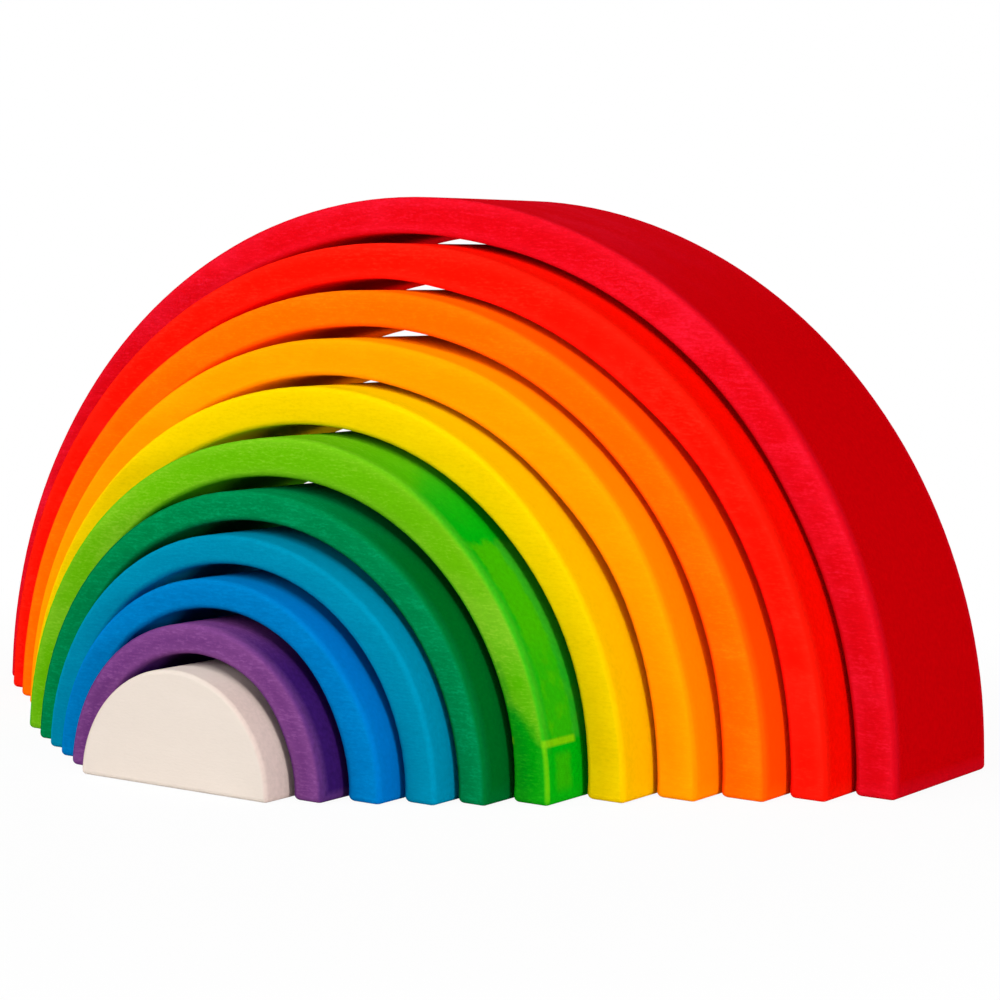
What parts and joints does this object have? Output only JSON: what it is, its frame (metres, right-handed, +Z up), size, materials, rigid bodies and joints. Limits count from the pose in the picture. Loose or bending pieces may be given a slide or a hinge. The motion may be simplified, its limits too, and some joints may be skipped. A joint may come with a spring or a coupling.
{
  "type": "nesting rainbow stacker",
  "caption": "Wooden stacking toy: dyed half-ring arches of shrinking size nest around a plain half-disc core and slide out of one another.",
  "frame": {"origin": "middle of the row's outline, on the level that all pieces stand on", "axes": "+X across the arches, +Y from the core towards the largest arch, +Z up"},
  "size_m": [0.35, 0.187, 0.175],
  "materials": {
    "crimson_arch": "matt, dyed so that the grain shows",
    "red_arch": "matt, dyed so that the grain shows",
    "orange_arch": "matt, dyed so that the grain shows",
    "amber_arch": "matt, dyed so that the grain shows",
    "yellow_arch": "matt, dyed so that the grain shows",
    "lime_arch": "matt, dyed so that the grain shows",
    "green_arch": "matt, dyed so that the grain shows",
    "teal_arch": "matt, dyed so that the grain shows",
    "blue_arch": "matt, dyed so that the grain shows",
    "purple_arch": "matt, dyed so that the grain shows",
    "core_block": "matt, bare sanded wood"
  },
  "bodies": {
    "crimson_arch": {"crimson_arch": "crimson_arch"},
    "red_arch": {"red_arch": "red_arch"},
    "orange_arch": {"orange_arch": "orange_arch"},
    "amber_arch": {"amber_arch": "amber_arch"},
    "yellow_arch": {"yellow_arch": "yellow_arch"},
    "lime_arch": {"lime_arch": "lime_arch"},
    "green_arch": {"green_arch": "green_arch"},
    "teal_arch": {"teal_arch": "teal_arch"},
    "blue_arch": {"blue_arch": "blue_arch"},
    "purple_arch": {"purple_arch": "purple_arch"},
    "core_block": {"core_block": "core_block"}
  },
  "joints": [
    {"name": "red_slide", "type": "slide", "parent": "crimson_arch", "child": "red_arch", "axis": [0, -1, 0], "range_m": [-0.0155, 0.1815]},
    {"name": "orange_slide", "type": "slide", "parent": "crimson_arch", "child": "orange_arch", "axis": [0, -1, 0], "range_m": [-0.0275, 0.1695]},
    {"name": "amber_slide", "type": "slide", "parent": "crimson_arch", "child": "amber_arch", "axis": [0, -1, 0], "range_m": [-0.04, 0.157]},
    {"name": "yellow_slide", "type": "slide", "parent": "crimson_arch", "child": "yellow_arch", "axis": [0, -1, 0], "range_m": [-0.0555, 0.1415]},
    {"name": "lime_slide", "type": "slide", "parent": "crimson_arch", "child": "lime_arch", "axis": [0, -1, 0], "range_m": [-0.073, 0.124]},
    {"name": "green_slide", "type": "slide", "parent": "crimson_arch", "child": "green_arch", "axis": [0, -1, 0], "range_m": [-0.0845, 0.1125]},
    {"name": "teal_slide", "type": "slide", "parent": "crimson_arch", "child": "teal_arch", "axis": [0, -1, 0], "range_m": [-0.0935, 0.1035]},
    {"name": "blue_slide", "type": "slide", "parent": "crimson_arch", "child": "blue_arch", "axis": [0, -1, 0], "range_m": [-0.1025, 0.0945]},
    {"name": "purple_slide", "type": "slide", "parent": "crimson_arch", "child": "purple_arch", "axis": [0, -1, 0], "range_m": [-0.1115, 0.0855]},
    {"name": "core_slide", "type": "slide", "parent": "crimson_arch", "child": "core_block", "axis": [0, -1, 0], "range_m": [-0.121, 0.076]}
  ]
}
